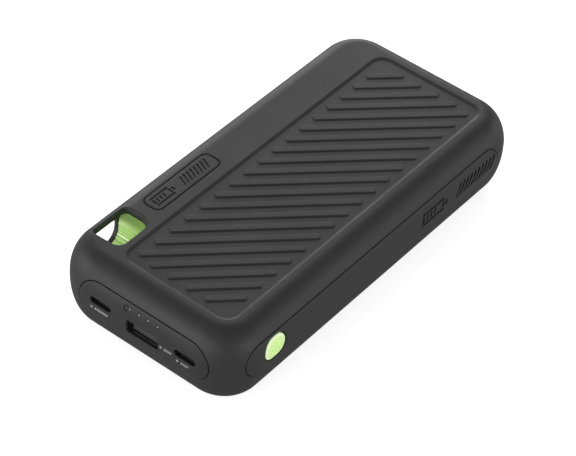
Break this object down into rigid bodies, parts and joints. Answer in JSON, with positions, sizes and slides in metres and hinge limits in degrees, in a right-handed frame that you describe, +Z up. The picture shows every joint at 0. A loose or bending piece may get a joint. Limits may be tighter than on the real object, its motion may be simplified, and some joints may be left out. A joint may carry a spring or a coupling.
{
  "type": "power bank",
  "caption": "Slab power bank with rounded edges, a ribbed top, a lanyard corner, end sockets and a side power button.",
  "frame": {"origin": "centre of the footprint, on the surface that the flat bottom rests on", "axes": "+Z up through the ribbed top, +Y along the length away from the sockets, +X towards the power button's side"},
  "size_m": [0.0743, 0.1534, 0.0291],
  "materials": {
    "soft_touch": "matte",
    "insert": "satin",
    "liner": "satin",
    "button": "satin",
    "socket_steel": "satin",
    "black_plastic": "satin",
    "board": "satin",
    "led": "satin",
    "light_guide": "gloss",
    "ferrite": "matte",
    "can": "satin",
    "chip": "satin",
    "pouch": "satin",
    "tape": "matte",
    "foam": "matte",
    "nickel": "satin",
    "red_wire": "satin",
    "black_wire": "satin",
    "screw": "satin"
  },
  "bodies": {
    "case": {"housing": "soft_touch", "bottom_cover": "soft_touch", "port_plate": "insert", "side_strip": "insert", "lanyard_liner": "liner", "usb_c_left_shell": "socket_steel", "usb_c_left_tongue": "black_plastic", "usb_a_shell": "socket_steel", "usb_a_tongue": "black_plastic", "usb_c_right_shell": "socket_steel", "usb_c_right_tongue": "black_plastic", "main_board": "board", "led_board": "board", "charge_led_1": "led", "charge_led_2": "led", "charge_led_3": "led", "charge_led_4": "led", "light_guide": "light_guide", "switch_body": "black_plastic", "inductor_upper": "ferrite", "inductor_lower": "ferrite", "output_capacitor_1": "can", "output_capacitor_2": "can", "charge_controller": "chip", "port_controller": "chip", "power_transistor_1": "chip", "power_transistor_2": "chip", "lower_cell": "pouch", "upper_cell": "pouch", "cell_tape": "tape", "lower_foam": "foam", "upper_foam": "foam", "nickel_strip_positive": "nickel", "nickel_strip_negative": "nickel", "battery_wire_positive": "red_wire", "battery_wire_negative": "black_wire", "cover_screw_1": "screw", "cover_screw_2": "screw", "cover_screw_3": "screw", "cover_screw_4": "screw", "board_screw_1": "screw", "board_screw_2": "screw"},
    "button": {"power_button": "button"},
    "plunger": {"switch_plunger": "black_plastic"}
  },
  "joints": [
    {"name": "button_press", "type": "slide", "parent": "case", "child": "button", "axis": [-1, 0, 0], "range_m": [0, 0.0005], "stiffness_N_per_m": 2000, "springref_m": -0.0005},
    {"name": "plunger_press", "type": "slide", "parent": "case", "child": "plunger", "axis": [-1, 0, 0], "range_m": [0, 0.0005]}
  ],
  "couplings": [
    {"joint": "plunger_press", "follows": "button_press", "ratio": 1}
  ]
}
